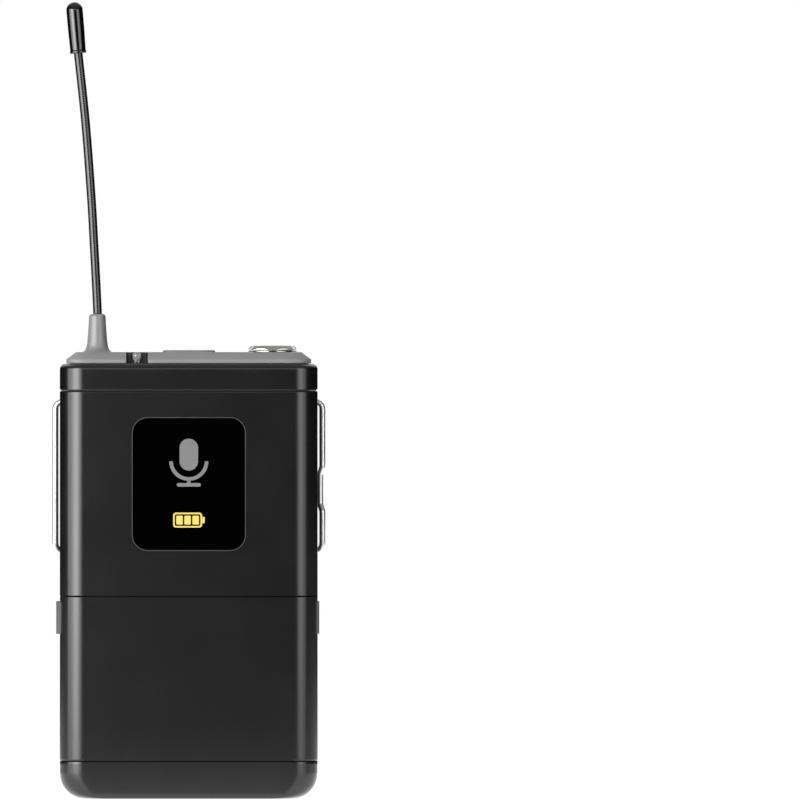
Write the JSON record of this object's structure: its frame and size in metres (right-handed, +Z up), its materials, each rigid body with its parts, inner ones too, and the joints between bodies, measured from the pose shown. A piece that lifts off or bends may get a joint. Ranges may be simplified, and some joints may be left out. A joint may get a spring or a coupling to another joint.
{
  "type": "wireless bodypack transmitter",
  "caption": "Slim pocket transmitter with a flexible whip antenna, mini XLR socket, slide switch, hinged battery door and a sprung wire belt clip.",
  "frame": {"origin": "centre of the case's flat bottom face", "axes": "+Z up the case towards the antenna, -Y out of the front face, +X to the right seen from the front"},
  "size_m": [0.0679, 0.0314, 0.198],
  "materials": {
    "case_black": "moulded black ABS, satin",
    "panel_grey": "moulded grey ABS, fine matt",
    "boot_grey": "light grey flexible boot, matt",
    "whip_black": "black sleeve over a close wound coil, satin",
    "tip_black": "glossy black cap",
    "window_black": "glossy black panel",
    "bright_metal": "bright nickel plate",
    "clip_wire": "bright drawn spring steel wire",
    "contact_metal": "nickel plated spring strip",
    "gold_contact": "plated contact brass",
    "inner_black": "moulded black, matt",
    "led_clear": "clear moulded lens",
    "knob_black": "moulded black, matt",
    "tab_grey": "moulded dark grey, satin",
    "shield_metal": "tinned sheet",
    "board_green": "green solder mask",
    "flex_amber": "amber polyimide",
    "pot_blue": "blue moulded body",
    "pot_white": "white moulded rotor",
    "cell_sleeve": "printed shrink sleeve, plain",
    "foam": "black foam",
    "screw_black": "black oxide",
    "label_grey": "blank silver film"
  },
  "bodies": {
    "root": {"rear_cover": "case_black", "front_cover": "case_black", "top_collar": "case_black", "bottom_cap": "case_black", "top_plate": "panel_grey", "window": "window_black", "rear_label": "label_grey", "antenna_boot": "boot_grey", "antenna_whip": "whip_black", "antenna_tip": "tip_black", "antenna_ferrule": "gold_contact", "antenna_contact": "gold_contact", "socket_shell": "bright_metal", "socket_insert": "inner_black", "socket_pin_1": "gold_contact", "socket_pin_2": "gold_contact", "socket_pin_3": "gold_contact", "socket_washer": "bright_metal", "socket_nut": "bright_metal", "led_holder": "inner_black", "led_lens": "led_clear", "switch_body": "shield_metal", "main_board": "board_green", "shield_can": "shield_metal", "audio_chip": "inner_black", "crystal": "shield_metal", "capacitor": "shield_metal", "control_plate": "inner_black", "control_lead": "flex_amber", "gain_pot_body": "pot_blue", "battery_tray": "inner_black", "cell_lower": "cell_sleeve", "cell_upper": "cell_sleeve", "contact_bridge": "contact_metal", "contact_negative": "contact_metal", "contact_positive": "contact_metal", "contact_spring_lower": "contact_metal", "contact_spring_upper": "contact_metal", "rear_screw_1": "screw_black", "rear_screw_2": "screw_black", "rear_screw_3": "screw_black", "rear_screw_4": "screw_black", "board_screw_1": "screw_black", "board_screw_2": "screw_black"},
    "door": {"battery_door": "case_black", "door_pad": "foam", "hinge_pin_left": "bright_metal", "hinge_pin_right": "bright_metal"},
    "tab_left": {"release_tab_left": "tab_grey"},
    "tab_right": {"release_tab_right": "tab_grey"},
    "switch": {"switch_knob": "knob_black"},
    "gain": {"gain_pot_rotor": "pot_white"},
    "clip": {"belt_clip": "clip_wire"}
  },
  "joints": [
    {"name": "door_hinge", "type": "hinge", "parent": "root", "child": "door", "pos_m": [0, -0.0093, 0.0104], "axis": [1, 0, 0], "range_deg": [0, 58]},
    {"name": "tab_left_press", "type": "slide", "parent": "door", "child": "tab_left", "axis": [1, 0, 0], "range_m": [0, 0.0008], "stiffness_N_per_m": 600, "springref_m": -0.0008},
    {"name": "tab_right_press", "type": "slide", "parent": "door", "child": "tab_right", "axis": [-1, 0, 0], "range_m": [0, 0.0008], "stiffness_N_per_m": 600, "springref_m": -0.0008},
    {"name": "switch_slide", "type": "slide", "parent": "root", "child": "switch", "axis": [1, 0, 0], "range_m": [-0.0018, 0.0018]},
    {"name": "gain_turn", "type": "hinge", "parent": "root", "child": "gain", "pos_m": [0.009, -0.006, 0.0462], "axis": [0, 1, 0], "range_deg": [-135, 135]},
    {"name": "clip_hinge", "type": "hinge", "parent": "root", "child": "clip", "pos_m": [0, 0.0086, 0.0986], "axis": [1, 0, 0], "range_deg": [0, 10], "stiffness_Nm_per_rad": 1.2, "springref_deg": -2.86}
  ]
}
